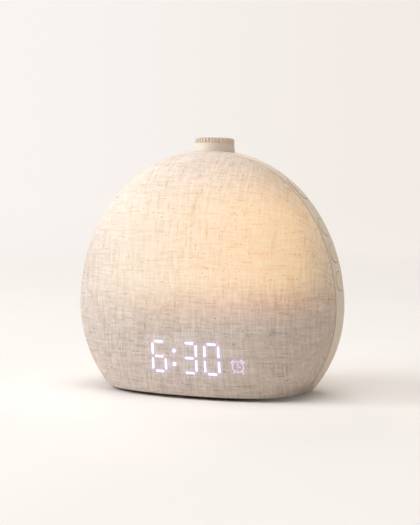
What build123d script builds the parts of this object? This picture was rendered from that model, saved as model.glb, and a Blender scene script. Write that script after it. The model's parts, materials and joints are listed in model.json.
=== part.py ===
from build123d import *
from math import acos, asin, cos, degrees, radians, sin, sqrt
import os

# Sunrise alarm clock: a pebble-shaped lamp with a linen front, a moulded rear housing and a knob on
# the crown.
#
# Millimetres. X runs to the viewer's right, Y to the back, Z up. The seam between the linen front and
# the rear housing lies on Y = 0, and the base pad stands on Z = 0. An inset is a distance inwards
# from the outer form.

os.makedirs("parts", exist_ok=True)

# ---- Outer form: two half ellipses seen from the front, a squarer curve from front to back
half_width = 91.0
crown_rise = 103.0  # from the widest level up to the crown
belly_drop = 87.0  # half axis of the lower ellipse, which the sole cuts off
waist_height = 58.0  # height of the widest level
front_depth = 53.0
rear_depth = 44.5
front_squareness = 2.8  # exponent of the front's depth curve, 2 being an ellipse
rear_squareness = 3.2
sole_height = 2.0  # underside of the body above the table
dome_flat = 6.0  # radius over which the domes are flat at their centre
curve_steps = 8  # spans of a depth curve

# ---- Walls and fits
linen_thick = 0.9
diffuser_wall = 2.2
housing_wall = 2.4
layer_gap = 0.05  # between layers and boards that lie on each other
seam_gap = 0.6
slide_gap = 0.5  # round a button in its hole
turn_gap = 0.05  # a shaft in its bush
screw_gap = 0.02  # a screw in its pilot hole
pass_gap = 0.2  # a screw through a clearance hole

# ---- Seam: it sweeps forward over the crown, round the knob
sweep_half = 44.0
sweep_reach = 12.6
hoop_wall = 2.7
hoop_front = -5.0
hoop_back = 1.0
hoop_lip = 3.0  # how far the hoop's crown runs in front of the seam
hoop_bar = 3.0

# ---- Sole
fold_width = 7.0  # linen turned under the edge
floor_wall = 3.1
floor_width = 18.0
plate_inset = 11.6
plate_wall = 2.4
pad_inset = 9.0
pad_thick = sole_height
base_screw_x = 38.0
base_screw_inset = 14.6
base_boss_height = 5.4
base_boss_radius = 3.2
base_screw_length = 8.0
base_head_sink = 2.1

# ---- Screws: shank radius, head radius, head height
case_screw = (1.5, 2.75, 2.0)
board_screw = (1.0, 1.9, 1.3)
board_boss_radius = 2.6
board_screw_length = 4.4

# ---- Case screws, by their angle round the outline and their inset
case_screw_angles = (66, 114, -28, 208)
case_screw_inset = 10.0
case_screw_seat = 24.0
case_screw_end = -7.0
case_tube_wall = 1.6
ear_radius = 4.6
ear_front = -9.0

# ---- Knob and its encoder, on an axis that leans back; heights run along it from the crown
knob_back = 4.9
knob_lean = 3.3
knob_top = 8.2
knob_top_radius = 13.1
knob_skirt_radius = 13.9
knob_wall = 1.6
knob_shoulder = 1.1
knob_notches = 36
knob_notch_radius = 0.8
knob_notch_height = 3.7
knob_seat_floor = -2.0
knob_seat_gap = 0.6
knob_float = 0.8  # skirt above the floor of its seat, more than its travel
knob_travel = 0.5
hub_radius = 4.8
boss_wall = 2.0
bush_radius = 3.5
bush_top = 1.0
shaft_radius = 3.0
shaft_top = 6.0
shaft_flat = 2.2  # depth of the shaft's flat from its axis
encoder_width = 12.4
encoder_height = 7.0
encoder_cavity_radius = 5.2
encoder_roof = 1.6
encoder_base_wall = 1.0
encoder_board_width = 16.0
rotor_radius = 4.6
rotor_height = 1.8
plunger_disc = (3.2, 0.9)
part_gap = 0.3  # between pieces of different bodies
nut_width = 10.0
nut_height = 2.0
washer_thick = 0.5
washer_radius = 6.0

# ---- Side buttons, by their angle round the outline
button_depth = 9.0  # behind the seam
round_button_angles = {"dimmer_button": 31.2, "sound_button": 20.7, "alarm_button": 10.2}
round_button_radius = 6.1
pill_button_angle = 49.6
pill_length = 17.7
pill_width = 9.0
button_proud = 0.3
button_travel = 0.6
flange_depth = 4.0  # under the outer form
flange_thick = 1.0
flange_width = 1.2
stem_radius = 2.0
stem_depth = 6.6
switch_depth = 7.8
switch_size = (7.0, 6.4, 3.6)  # front to back, round the outline, deep
plunger_radius = 1.6
plunger_tail = 2.0
button_board_insets = (8.5, 20.5)
button_board_angles = (-3.0, 60.0)
button_board_posts = (1.5, 40.4, 57.6)
button_post_inset = 15.0

# ---- Light chamber
shelf_height = 60.0
shelf_wall = 1.6
shelf_back = 10.9
flange_wall = 1.6
dish_inset = 17.0
dish_back_inset = 29.0
dish_floor = 64.0
dish_back_floor = 71.0
dish_wall = 1.6
dish_back = 18.0
board_wall = 1.6
board_corner = 1.5
light_board_gap = 1.7
light_board_shrink = 1.5
led_size = 5.0
led_height = 2.4
led_pitch = 14.0
led_rows = (82.0, 97.0, 112.0)
led_hole_radius = 3.9
led_edge = 8.0
light_peg_spots = ((-35.0, 89.5), (35.0, 89.5), (-21.0, 104.5), (21.0, 104.5))

# ---- Display, seen from the front
digit_height = 19.5  # between the middles of the top and bottom segments
digit_width = 9.8
digit_level = 27.7
digit_centres = (-26.6, -11.1, 10.9, 26.4)
segment_width = 2.0
segment_gap = 0.5  # between neighbouring segments
guide_gap = 0.1
colon_levels = (23.1, 31.9)
colon_radius = 1.3
mask_front = -42.8
mask_back = -36.0
mask_left = -34.5
mask_right = 34.0
mask_bottom = 15.5
mask_top = 40.0
icon_front = -38.3
icon_centre = (43.5, 23.5)
icon_radius = 4.1
icon_line = 1.0
icon_hands = (2.7, 2.1)
icon_well = 10.6
icon_block = 14.0
display_right = 51.0
display_post_spots = (-18.85, 18.65)
ledge_size = (8.0, 3.0)  # inwards from the hoop, thick
leg_width = 9.0
leg_thick = 3.0
leg_bottom = 16.0
display_screw_levels = (20.0, 36.0)
ribbon_size = (7.0, 0.3)
ribbon_place = 27.5
ribbon_levels = (36.0, 79.5)  # its ends on the display board and on the main board

# ---- Speaker, facing the back
speaker_level = 35.0
speaker_radius = 26.0
speaker_rim = 6.0  # from the mouth to the edge
speaker_screw_inset = 2.4
speaker_flange = 35.0
speaker_flange_thick = 1.5
gasket_thick = 0.8
magnet_front = 17.0
magnet_thick = 7.0
magnet_radius = 15.0
basket_wall = 1.0
basket_neck = 13.0
basket_window = (12.0, 6.0)
cone_neck = 6.5
cone_thick = 0.6
cone_foot = 4.0  # cone's neck above the magnet
cone_cap = 6.0
roll_width = 1.5
grille_pitch = 5.0
grille_hole = 1.4

# ---- Boards
main_board_size = (76.0, 50.0)
main_board_level = 100.0
main_board_front = 27.0
main_board_edge = 4.0
power_board_size = (25.0, 23.0)
power_board_back = 31.2
power_board_bottom = 15.0
power_centre = -46.0
power_post_spots = ((-54.5, 21.0), (-37.5, 28.4))
usb_face = 33.0
usb_shell = (8.94, 3.16, 7.3)
usb_wall = 0.4
usb_pocket = (15.5, 10.0)
usb_pocket_wall = 1.6
usb_pocket_corner = 2.6
usb_slot_gap = 0.2
usb_tongue_size = (6.7, 0.7)
cell_radius = 10.0
cell_thick = 3.2
cell_rim = 1.6
cell_floor = 1.0
cell_centre = (-18.0, 9.5)  # places on the main board, from its middle
controller_place = (6.0, 4.0)
controller_size = ((10.0, 10.0), 1.2)
amplifier_place = (-14.0, -8.0)
amplifier_size = ((6.0, 6.0), 1.0)
connector_places = (-22.0, -6.0, 10.0, 24.0)
connector_level = -20.0
connector_size = ((10.0, 4.6), 4.5)
capacitor_row = 26.0
capacitor_places = (-8.0, 1.0, 10.0)
capacitor_size = (3.2, 6.5)

# ---- Leads, in pairs
lead_radius = 0.6
lead_pitch = 1.8
speaker_lead_inset = 2.2
power_lead_place = (-40.0, 14.0)
light_lead_level = 77.0
button_lead_place = (75.0, 70.0)
encoder_lead_place = (4.0, 5.0)  # on the encoder board, from its axis
encoder_lead_level = 119.0


# ======== Geometry that every piece is cut from ========
def depth_curve(inset, depth, squareness):
    """Points of the form's depth curve at the widest level, from the seam to the flat of the dome."""
    side = 1 if depth > 0 else -1
    width = half_width - inset
    last = acos((dome_flat / width) ** (squareness / 2))
    turns = [last * step / curve_steps for step in range(curve_steps + 1)]
    return [
        (width * cos(t) ** (2 / squareness), (depth - side * inset) * sin(t) ** (2 / squareness))
        for t in turns
    ]


def half_shell(outer, inner, depth, squareness, rise, turn):
    """Upper or lower half of a shell between two insets, or of a solid where inner is None."""
    side = 1 if depth > 0 else -1
    skin = depth_curve(outer, depth, squareness)
    with BuildPart() as half:
        with BuildSketch(Plane.XY):
            with BuildLine():
                Spline(*skin, tangents=[(0, side), (-1, 0)])
                Line(skin[-1], (0, skin[-1][1]))
                if inner is None:
                    Polyline((0, skin[-1][1]), (0, 0), skin[0])
                else:
                    lining = depth_curve(inner, depth, squareness)
                    Spline(*lining, tangents=[(0, side), (-1, 0)])
                    Line(lining[-1], (0, lining[-1][1]))
                    Line((0, skin[-1][1]), (0, lining[-1][1]))
                    Line(skin[0], lining[0])
            make_face()
        revolve(axis=Axis.Y, revolution_arc=turn)
        scale(by=(1, 1, rise / half_width))
    return half.part


def dome(outer, inner, depth, squareness, bottom):
    """Front or rear dome of the form, cut flat at the bottom."""
    with BuildPart() as whole:
        with Locations((0, 0, waist_height)):
            add(half_shell(outer, inner, depth, squareness, crown_rise, -180))
            add(half_shell(outer, inner, depth, squareness, belly_drop, 180), clean=False)
        split(bisect_by=Plane.XY.offset(bottom), keep=Keep.TOP)
    return whole.part


def front_dome(outer, inner, bottom=sole_height):
    return dome(outer, inner, -front_depth, front_squareness, bottom)


def rear_dome(outer, inner, bottom=sole_height):
    return dome(outer, inner, rear_depth, rear_squareness, bottom)


def level_share(height, inset):
    """A height's distance from the widest level, as a share of the form's half axis there."""
    rise = crown_rise if height > waist_height else belly_drop
    return abs(height - waist_height) / ((half_width - inset) * rise / half_width)


def level_depth(x, height, inset, depth, squareness):
    """Depth of the form's surface at a place across and a height."""
    side = 1 if depth > 0 else -1
    reach = sqrt((x / (half_width - inset)) ** 2 + level_share(height, inset) ** 2)
    return (depth - side * inset) * (1 - reach**squareness) ** (1 / squareness)


def level_line(height, inset):
    """The form's horizontal section at a height, as lines in the sketch that calls it."""
    share = level_share(height, inset)
    for depth, squareness in ((-front_depth, front_squareness), (rear_depth, rear_squareness)):
        side = 1 if depth > 0 else -1
        last = acos(share ** (squareness / 2))
        turns = [last * step / curve_steps for step in range(curve_steps)]
        points = [
            (
                (half_width - inset) * sqrt(cos(t) ** (4 / squareness) - share**2),
                (depth - side * inset) * sin(t) ** (2 / squareness),
            )
            for t in turns
        ]
        points.append((0, (depth - side * inset) * sin(last) ** (2 / squareness)))
        Spline(*points, tangents=[(0, side), (-1, 0)])
    mirror(about=Plane.YZ)


def level_plate(bottom, top, outer, inner=None):
    """A flat plate with the form's outline at its underside, with an opening where inner is given."""
    with BuildPart() as plate:
        with BuildSketch(Plane.XY.offset(bottom)):
            with BuildLine():
                level_line(bottom, outer)
            make_face()
            if inner is not None:
                with BuildLine():
                    level_line(bottom, inner)
                make_face(mode=Mode.SUBTRACT)
        extrude(amount=top - bottom)
    return plate.part


def facing(depth):
    """A drawing plane that faces the front, at a depth behind the seam."""
    return Plane.XZ.offset(-depth)


def rim_axes(inset):
    """Half axes of the outline seen from the front: across, up, down."""
    width = half_width - inset
    return width, width * crown_rise / half_width, width * belly_drop / half_width


def rim_point(angle, inset):
    """X and Z of the point at an angle round the outline."""
    width, up, down = rim_axes(inset)
    turn = radians(angle)
    return width * cos(turn), waist_height + (up if sin(turn) > 0 else down) * sin(turn)


def rim_line(inset):
    """The outline seen from the front, as lines in the sketch that calls it."""
    width, up, down = rim_axes(inset)
    EllipticalCenterArc((0, waist_height), width, up, 0, arc_size=180)
    EllipticalCenterArc((0, waist_height), width, down, 180, arc_size=180)


def crown_line(inset, floor):
    """The outline above a floor, seen from the front, as lines in the sketch that calls it."""
    width, up, _ = rim_axes(inset)
    start = degrees(asin((floor - waist_height) / up))
    arc = EllipticalCenterArc((0, waist_height), width, up, start, arc_size=180 - 2 * start)
    Line(arc @ 1, arc @ 0)


def space_behind_seam(shift):
    """Everything behind the seam, which sweeps forward over the crown, moved back by shift."""
    far = 2 * half_width
    bend = (sweep_half / 2, shift - sweep_reach / 2)
    with BuildPart() as space:
        with BuildSketch(Plane.XY.offset(waist_height)):
            with BuildLine():
                Spline(
                    (-sweep_half, shift),
                    (-bend[0], bend[1]),
                    (0, shift - sweep_reach),
                    bend,
                    (sweep_half, shift),
                    tangents=[(1, 0), (1, 0)],
                )
                Polyline(
                    (sweep_half, shift),
                    (far, shift),
                    (far, far),
                    (-far, far),
                    (-far, shift),
                    (-sweep_half, shift),
                )
            make_face()
        extrude(amount=far)
        with BuildSketch(Plane.XY.offset(waist_height)):
            with BuildLine():
                Polyline((-far, shift), (far, shift), (far, far), (-far, far), close=True)
            make_face()
        extrude(amount=-far)
    return space.part


def upright(plane):
    """A drawing plane through a plane's axis: X outwards, Y along the axis."""
    return Plane(origin=plane.origin, x_dir=plane.x_dir, z_dir=-plane.y_dir)


def axis_of(plane):
    return Axis(plane.origin, plane.z_dir)


knob_seat_radius = knob_skirt_radius + knob_seat_gap
crown_level = crown_rise * (1 - (knob_back / rear_depth) ** rear_squareness) ** (1 / rear_squareness)
knob_plane = Plane(
    origin=(0, knob_back, waist_height + crown_level),
    x_dir=(1, 0, 0),
    z_dir=(0, sin(radians(knob_lean)), cos(radians(knob_lean))),
)


def spot_plane(x, depth, z, towards_front=True):
    """A plane at a spot that faces the front or the back."""
    return Plane(origin=(x, depth, z), x_dir=(1, 0, 0), z_dir=(0, -1 if towards_front else 1, 0))


def finish(built, name):
    built.part.label = name
    export_step(built.part, f"parts/{name}.step")


def screws(name, places, sizes, length):
    """Identical screws: each head stands on its plane and its shank runs the other way."""
    shank, head, head_height = sizes
    with BuildPart() as group:
        for place in places:
            with BuildSketch(place):
                Circle(head)
            extrude(amount=head_height)
            with BuildSketch(place):
                Circle(shank)
            extrude(amount=-length)
    finish(group, name)


# ======== Front: linen, diffuser, hoop ========
bottom_up = (Align.CENTER, Align.CENTER, Align.MIN)
front_edge = -seam_gap / 2
rear_edge = seam_gap / 2
diffuser_skin = linen_thick + layer_gap
diffuser_lining = diffuser_skin + diffuser_wall
diffuser_bottom = sole_height + linen_thick + layer_gap
floor_top = sole_height + floor_wall
plate_bottom = floor_top + layer_gap
plate_top = plate_bottom + plate_wall
behind_front_edge = space_behind_seam(front_edge)
behind_rear_edge = space_behind_seam(rear_edge)
base_screw_spots = [
    (side * base_screw_x, level_depth(base_screw_x, sole_height, base_screw_inset, depth, squareness))
    for side in (-1, 1)
    for depth, squareness in ((-front_depth, front_squareness), (rear_depth, rear_squareness))
]

with BuildPart() as fabric_cover:
    add(front_dome(0, linen_thick))
    add(level_plate(sole_height, sole_height + linen_thick, linen_thick / 2, fold_width), clean=False)
    add(behind_front_edge, mode=Mode.SUBTRACT, clean=False)
finish(fabric_cover, "fabric_cover")

with BuildPart() as diffuser_shell:
    add(front_dome(diffuser_skin, diffuser_lining, diffuser_bottom))
    diffuser_middle = diffuser_skin + diffuser_wall / 2
    add(level_plate(diffuser_bottom, floor_top, diffuser_middle, floor_width), clean=False)
    add(level_plate(sole_height, diffuser_bottom, fold_width + layer_gap, floor_width), clean=False)
    add(behind_front_edge, mode=Mode.SUBTRACT, clean=False)
    with Locations(*[(x, y, sole_height) for x, y in base_screw_spots if y < 0]):
        Cylinder(case_screw[0] + pass_gap, floor_wall, align=bottom_up, mode=Mode.SUBTRACT)
        Cylinder(case_screw[1] + pass_gap, base_head_sink, align=bottom_up, mode=Mode.SUBTRACT)
finish(diffuser_shell, "diffuser_shell")

hoop_inset = diffuser_lining + 3 * layer_gap
hoop_lining = half_width - hoop_inset - hoop_wall
ledge_top = shelf_height - layer_gap
ledge_middle = (hoop_front + hoop_back) / 2
ledge_screw_spots = [(side * (hoop_lining - ledge_size[0] / 2), ledge_middle) for side in (-1, 1)]
dish_flange_front = hoop_back + layer_gap
dish_flange_back = dish_flange_front + flange_wall
tube_front = dish_flange_back + layer_gap
case_screw_spots = [rim_point(angle, case_screw_inset) for angle in case_screw_angles]

with BuildPart() as hoop_lip_ring:
    add(front_dome(hoop_inset, hoop_inset + hoop_wall / 2, waist_height))
    add(space_behind_seam(-hoop_lip), mode=Mode.INTERSECT, clean=False)

with BuildPart() as hem_frame:
    with BuildSketch(facing(hoop_back)):
        with BuildLine():
            rim_line(hoop_inset)
        make_face()
        with BuildLine():
            rim_line(hoop_inset + hoop_wall)
        make_face(mode=Mode.SUBTRACT)
    extrude(amount=hoop_back - hoop_front)
    split(bisect_by=Plane.XY.offset(plate_bottom), keep=Keep.TOP)
    bar_angle = degrees(asin((plate_top - waist_height) / rim_axes(hoop_inset)[2]))
    bar_reach = rim_point(bar_angle, hoop_inset)[0]
    with BuildSketch(facing(hoop_back)):
        with Locations((0, plate_top + layer_gap)):
            Rectangle(2 * bar_reach - hoop_wall, hoop_bar, align=(Align.CENTER, Align.MIN))
    extrude(amount=hoop_back - hoop_front)
    add(hoop_lip_ring.part, clean=False)
    with BuildSketch(Plane.XY.offset(ledge_top)):
        for side in (-1, 1):
            with Locations((side * (hoop_lining + hoop_wall / 2), ledge_middle)):
                Rectangle(
                    ledge_size[0] + hoop_wall / 2,
                    hoop_back - hoop_front,
                    align=(Align.MAX if side > 0 else Align.MIN, Align.CENTER),
                )
        with Locations(*ledge_screw_spots):
            Circle(board_screw[0] + screw_gap, mode=Mode.SUBTRACT)
    extrude(amount=-ledge_size[1])
    for x, z in case_screw_spots:
        ear_back = hoop_back if z > shelf_height else dish_flange_back
        with BuildSketch(facing(ear_back)):
            with Locations((x, z)):
                Circle(ear_radius)
        extrude(amount=ear_back - ear_front)
        with BuildSketch(facing(ear_back)):
            with Locations((x, z)):
                Circle(case_screw[0] + screw_gap)
        extrude(amount=ear_back - case_screw_end + screw_gap, mode=Mode.SUBTRACT)
    with BuildSketch(knob_plane.offset(-crown_rise / 2)):
        Circle(knob_seat_radius + knob_wall + part_gap)
    extrude(amount=crown_rise, mode=Mode.SUBTRACT)
finish(hem_frame, "hem_frame")


# ======== Rear housing ========
boss_bottom = knob_seat_floor - boss_wall
case_access_radius = case_screw[1] + 2 * pass_gap
tube_radius = case_access_radius + case_tube_wall
seat_front = speaker_flange + speaker_flange_thick + gasket_thick
main_board_back = main_board_front + board_wall
main_board_spots = [
    (
        side * (main_board_size[0] / 2 - main_board_edge),
        main_board_level + end * (main_board_size[1] / 2 - main_board_edge),
    )
    for side in (-1, 1)
    for end in (-1, 1)
]
button_board_spots = [rim_point(angle, button_post_inset) for angle in button_board_posts]
speaker_mouth = speaker_radius - speaker_rim
speaker_screw_radius = speaker_radius - speaker_screw_inset
grille_rings = int((speaker_mouth - grille_hole - gasket_thick) // grille_pitch)
speaker_screw_spots = [
    (speaker_screw_radius * cos(radians(turn)), speaker_level + speaker_screw_radius * sin(radians(turn)))
    for turn in (45, 135, 225, 315)
]
button_board_front = button_depth + switch_size[0] / 2
button_board_back = button_board_front + board_wall
usb_level = power_board_bottom + board_wall + usb_shell[1] / 2


def button_plane(angle):
    """A plane on the form's side at an angle round the outline: X to the front, Z outwards."""
    reach = (1 - (button_depth / rear_depth) ** rear_squareness) ** (1 / rear_squareness)
    x, z = rim_point(angle, 0)
    normal = (cos(radians(angle)) / half_width, 0, sin(radians(angle)) / crown_rise)
    origin = (x * reach, button_depth, waist_height + (z - waist_height) * reach)
    return Plane(origin=origin, x_dir=(0, -1, 0), z_dir=normal)


def button_outline(angle, growth):
    """A side button's outline, grown all round, in the sketch that calls it."""
    if angle == pill_button_angle:
        SlotOverall(pill_length + 2 * growth, pill_width + 2 * growth, rotation=90)
    else:
        Circle(round_button_radius + growth)


button_angles = {"snooze_button": pill_button_angle, **round_button_angles}

with BuildPart() as housing_bosses:
    for x, z in case_screw_spots:
        with BuildSketch(facing(tube_front)):
            with Locations((x, z)):
                Circle(tube_radius)
        extrude(amount=tube_front - rear_depth)
    with BuildSketch(facing(main_board_back + layer_gap)):
        with Locations(*main_board_spots):
            Circle(board_boss_radius)
    extrude(amount=main_board_back + layer_gap - rear_depth)
    with BuildSketch(facing(button_board_back + layer_gap)):
        with Locations(*button_board_spots):
            Circle(board_boss_radius)
    extrude(amount=button_board_back + layer_gap - rear_depth)
    with BuildSketch(facing(seat_front)):
        with Locations((0, speaker_level)):
            Circle(speaker_radius)
            Circle(speaker_mouth - gasket_thick, mode=Mode.SUBTRACT)
    extrude(amount=seat_front - rear_depth)
    with BuildSketch(facing(usb_face - usb_pocket_wall)):
        with Locations((power_centre, usb_level)):
            RectangleRounded(
                usb_pocket[0] + 2 * usb_pocket_wall,
                usb_pocket[1] + 2 * usb_pocket_wall,
                usb_pocket_corner,
            )
    extrude(amount=usb_face - usb_pocket_wall - rear_depth)
    add(rear_dome(housing_wall / 2, None), mode=Mode.INTERSECT, clean=False)

with BuildPart() as rear_housing:
    add(rear_dome(0, housing_wall))
    add(front_dome(0, housing_wall), clean=False)
    add(level_plate(sole_height, floor_top, housing_wall / 2, floor_width), clean=False)
    add(behind_rear_edge, mode=Mode.INTERSECT, clean=False)
    add(housing_bosses.part, clean=False)
    with BuildSketch(Plane.XY.offset(floor_top - layer_gap)):
        with Locations(*power_post_spots):
            Circle(board_boss_radius)
    extrude(amount=power_board_bottom - floor_top, clean=False)
    with BuildSketch(knob_plane.offset(boss_bottom)):
        Circle(knob_seat_radius + knob_wall)
    extrude(amount=boss_wall + housing_wall / 8, clean=False)
    # Openings
    with BuildSketch(knob_plane.offset(knob_seat_floor)):
        Circle(knob_seat_radius)
    extrude(amount=knob_top, mode=Mode.SUBTRACT)
    with BuildSketch(knob_plane.offset(boss_bottom)):
        Circle(bush_radius + 2 * turn_gap)
    extrude(amount=knob_top, mode=Mode.SUBTRACT)
    for angle in button_angles.values():
        with BuildSketch(button_plane(angle).offset(-flange_depth)):
            button_outline(angle, slide_gap)
        extrude(amount=2 * flange_depth, mode=Mode.SUBTRACT)
    for x, z in case_screw_spots:
        with BuildSketch(facing(tube_front)):
            with Locations((x, z)):
                Circle(case_screw[0] + pass_gap)
        extrude(amount=tube_front - case_screw_seat, mode=Mode.SUBTRACT)
        with BuildSketch(facing(case_screw_seat)):
            with Locations((x, z)):
                Circle(case_access_radius)
        extrude(amount=case_screw_seat - rear_depth, mode=Mode.SUBTRACT)
    with BuildSketch(facing(seat_front)):
        with Locations((0, speaker_level)):
            Circle(grille_hole)
            for ring in range(1, grille_rings + 1):
                with PolarLocations(ring * grille_pitch, 6 * ring):
                    Circle(grille_hole)
    extrude(amount=seat_front - rear_depth - part_gap, mode=Mode.SUBTRACT)
    with BuildSketch(facing(usb_face)):
        with Locations((power_centre, usb_level)):
            RectangleRounded(*usb_pocket, usb_pocket_corner)
    extrude(amount=usb_face - rear_depth, mode=Mode.SUBTRACT)
    with BuildSketch(facing(usb_face - 2 * usb_pocket_wall)):
        with Locations((power_centre, usb_level)):
            SlotOverall(usb_shell[0] + 2 * usb_slot_gap, usb_shell[1] + 2 * usb_slot_gap)
    extrude(amount=-2.5 * usb_pocket_wall, mode=Mode.SUBTRACT)
    for spots, front, depth in (
        (main_board_spots, main_board_back, board_screw_length),
        (button_board_spots, button_board_back, board_screw_length),
        (speaker_screw_spots, seat_front, board_screw_length / 2),
    ):
        with BuildSketch(facing(front)):
            with Locations(*spots):
                Circle(board_screw[0] + screw_gap)
        extrude(amount=-depth, mode=Mode.SUBTRACT)
    with Locations(*[(x, y, power_board_bottom) for x, y in power_post_spots]):
        Cylinder(
            board_screw[0] + screw_gap,
            board_screw_length,
            align=(Align.CENTER, Align.CENTER, Align.MAX),
            mode=Mode.SUBTRACT,
        )
    with Locations(*[(x, y, sole_height) for x, y in base_screw_spots if y > 0]):
        Cylinder(case_screw[0] + pass_gap, floor_wall, align=bottom_up, mode=Mode.SUBTRACT)
        Cylinder(case_screw[1] + pass_gap, base_head_sink, align=bottom_up, mode=Mode.SUBTRACT)
finish(rear_housing, "rear_housing")


# ======== Sole ========
with BuildPart() as base_plate:
    add(level_plate(plate_bottom, plate_top, plate_inset))
    add(level_plate(sole_height + layer_gap, plate_bottom, floor_width + part_gap), clean=False)
    with Locations(*[(x, y, plate_top) for x, y in base_screw_spots]):
        Cylinder(base_boss_radius, base_boss_height, align=bottom_up)
    with Locations(*[(x, y, plate_bottom) for x, y in base_screw_spots]):
        Cylinder(case_screw[0] + screw_gap, base_screw_length, align=bottom_up, mode=Mode.SUBTRACT)
finish(base_plate, "base_plate")

with BuildPart() as base_pad:
    add(level_plate(sole_height - pad_thick, sole_height, pad_inset))
finish(base_pad, "base_pad")

screws(
    "base_screws",
    [
        Plane(origin=(x, y, sole_height + base_head_sink), x_dir=(1, 0, 0), z_dir=(0, 0, -1))
        for x, y in base_screw_spots
    ],
    case_screw,
    base_screw_length,
)
screws(
    "case_screws",
    [spot_plane(x, case_screw_seat, z, towards_front=False) for x, z in case_screw_spots],
    case_screw,
    case_screw_seat - case_screw_end,
)

# ======== Knob and encoder ========
knob_skirt = knob_seat_floor + knob_float
hub_bottom = bush_top + knob_travel + part_gap
encoder_bottom = boss_bottom - encoder_height
rotor_bottom = encoder_bottom + encoder_roof + knob_travel + plunger_disc[1]

with BuildPart() as knob:
    with BuildSketch(upright(knob_plane)):
        with BuildLine():
            Polyline((0, knob_top), (knob_top_radius - knob_shoulder, knob_top))
            RadiusArc(
                (knob_top_radius - knob_shoulder, knob_top),
                (knob_top_radius, knob_top - knob_shoulder),
                knob_shoulder,
            )
            Spline(
                (knob_top_radius, knob_top - knob_shoulder),
                (knob_top_radius + (knob_skirt_radius - knob_top_radius) / 4, knob_top / 3),
                (knob_skirt_radius, knob_skirt),
                tangents=[(0, -1), (0.15, -1)],
            )
            Polyline(
                (knob_skirt_radius, knob_skirt),
                (knob_skirt_radius - knob_wall, knob_skirt),
                (knob_top_radius - knob_wall, knob_top - knob_wall),
                (0, knob_top - knob_wall),
                (0, knob_top),
            )
        make_face()
    revolve(axis=axis_of(knob_plane))
    with BuildSketch(knob_plane.offset(hub_bottom)):
        Circle(hub_radius)
    extrude(amount=knob_top - knob_wall / 2 - hub_bottom)
    with BuildSketch(knob_plane.offset(hub_bottom)):
        Circle(shaft_radius + screw_gap)
        with Locations((shaft_flat + screw_gap, 0)):
            Rectangle(shaft_radius, 2.5 * shaft_radius, align=(Align.MIN, Align.CENTER), mode=Mode.SUBTRACT)
    extrude(amount=shaft_top + screw_gap - hub_bottom, mode=Mode.SUBTRACT)
    with BuildSketch(knob_plane.offset(knob_top - knob_notch_height)):
        with PolarLocations(knob_top_radius, knob_notches):
            Circle(knob_notch_radius)
    extrude(amount=2 * knob_notch_height, mode=Mode.SUBTRACT)
finish(knob, "knob")

with BuildPart() as encoder_shaft:
    with BuildSketch(knob_plane.offset(rotor_bottom + part_gap)):
        Circle(shaft_radius)
    extrude(amount=shaft_top - rotor_bottom - part_gap)
    with BuildSketch(knob_plane.offset(hub_bottom)):
        with Locations((shaft_flat, 0)):
            Rectangle(shaft_radius, 2.5 * shaft_radius, align=(Align.MIN, Align.CENTER))
    extrude(amount=shaft_top, mode=Mode.SUBTRACT)
    with BuildSketch(knob_plane.offset(rotor_bottom + part_gap)):
        Circle(rotor_radius)
    extrude(amount=rotor_height)
finish(encoder_shaft, "encoder_shaft")

with BuildPart() as encoder_plunger:
    with BuildSketch(knob_plane.offset(rotor_bottom - plunger_disc[1])):
        Circle(plunger_disc[0])
    extrude(amount=plunger_disc[1])
finish(encoder_plunger, "encoder_plunger")

with BuildPart() as encoder_body:
    with BuildSketch(knob_plane.offset(encoder_bottom)):
        Rectangle(encoder_width, encoder_width)
    extrude(amount=encoder_height)
    with BuildSketch(knob_plane.offset(encoder_bottom)):
        Circle(encoder_cavity_radius)
    extrude(amount=encoder_height - encoder_roof, mode=Mode.SUBTRACT)
    with BuildSketch(knob_plane.offset(boss_bottom)):
        Circle(bush_radius)
    extrude(amount=bush_top - boss_bottom)
    with BuildSketch(knob_plane.offset(encoder_bottom)):
        Circle(shaft_radius + turn_gap)
    extrude(amount=bush_top - encoder_bottom, mode=Mode.SUBTRACT)
finish(encoder_body, "encoder_body")

with BuildPart() as encoder_base:
    with BuildSketch(knob_plane.offset(encoder_bottom - layer_gap)):
        Rectangle(encoder_width, encoder_width)
    extrude(amount=-encoder_base_wall)
finish(encoder_base, "encoder_base")

with BuildPart() as encoder_board:
    with BuildSketch(knob_plane.offset(encoder_bottom - encoder_base_wall - 2 * layer_gap)):
        RectangleRounded(encoder_board_width, encoder_board_width, board_corner)
    extrude(amount=-board_wall)
finish(encoder_board, "encoder_board")

with BuildPart() as encoder_washer:
    with BuildSketch(knob_plane.offset(knob_seat_floor)):
        Circle(washer_radius)
        Circle(bush_radius + turn_gap, mode=Mode.SUBTRACT)
    extrude(amount=washer_thick)
finish(encoder_washer, "encoder_washer")

with BuildPart() as encoder_nut:
    with BuildSketch(knob_plane.offset(knob_seat_floor + washer_thick)):
        RegularPolygon(nut_width / 2, 6, major_radius=False)
        Circle(bush_radius + screw_gap, mode=Mode.SUBTRACT)
    extrude(amount=nut_height)
finish(encoder_nut, "encoder_nut")

# ======== Side buttons ========
button_skin = rear_dome(-button_proud, flange_depth + 2 * flange_thick)
flange_bottom = flange_depth + flange_thick

for name, angle in button_angles.items():
    plane = button_plane(angle)
    with BuildPart() as button:
        with BuildSketch(plane.offset(-flange_bottom)):
            button_outline(angle, 0)
        extrude(amount=2 * flange_bottom)
        add(button_skin, mode=Mode.INTERSECT, clean=False)
        with BuildSketch(plane.offset(-flange_bottom)):
            button_outline(angle, flange_width)
        extrude(amount=flange_thick)
        with BuildSketch(plane.offset(-stem_depth)):
            Circle(stem_radius)
        extrude(amount=stem_depth - flange_depth)
    finish(button, name)
    with BuildPart() as plunger:
        with BuildSketch(plane.offset(-switch_depth - plunger_tail)):
            Circle(plunger_radius)
        extrude(amount=switch_depth + plunger_tail - stem_depth - layer_gap)
    finish(plunger, name.replace("button", "plunger"))

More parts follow.
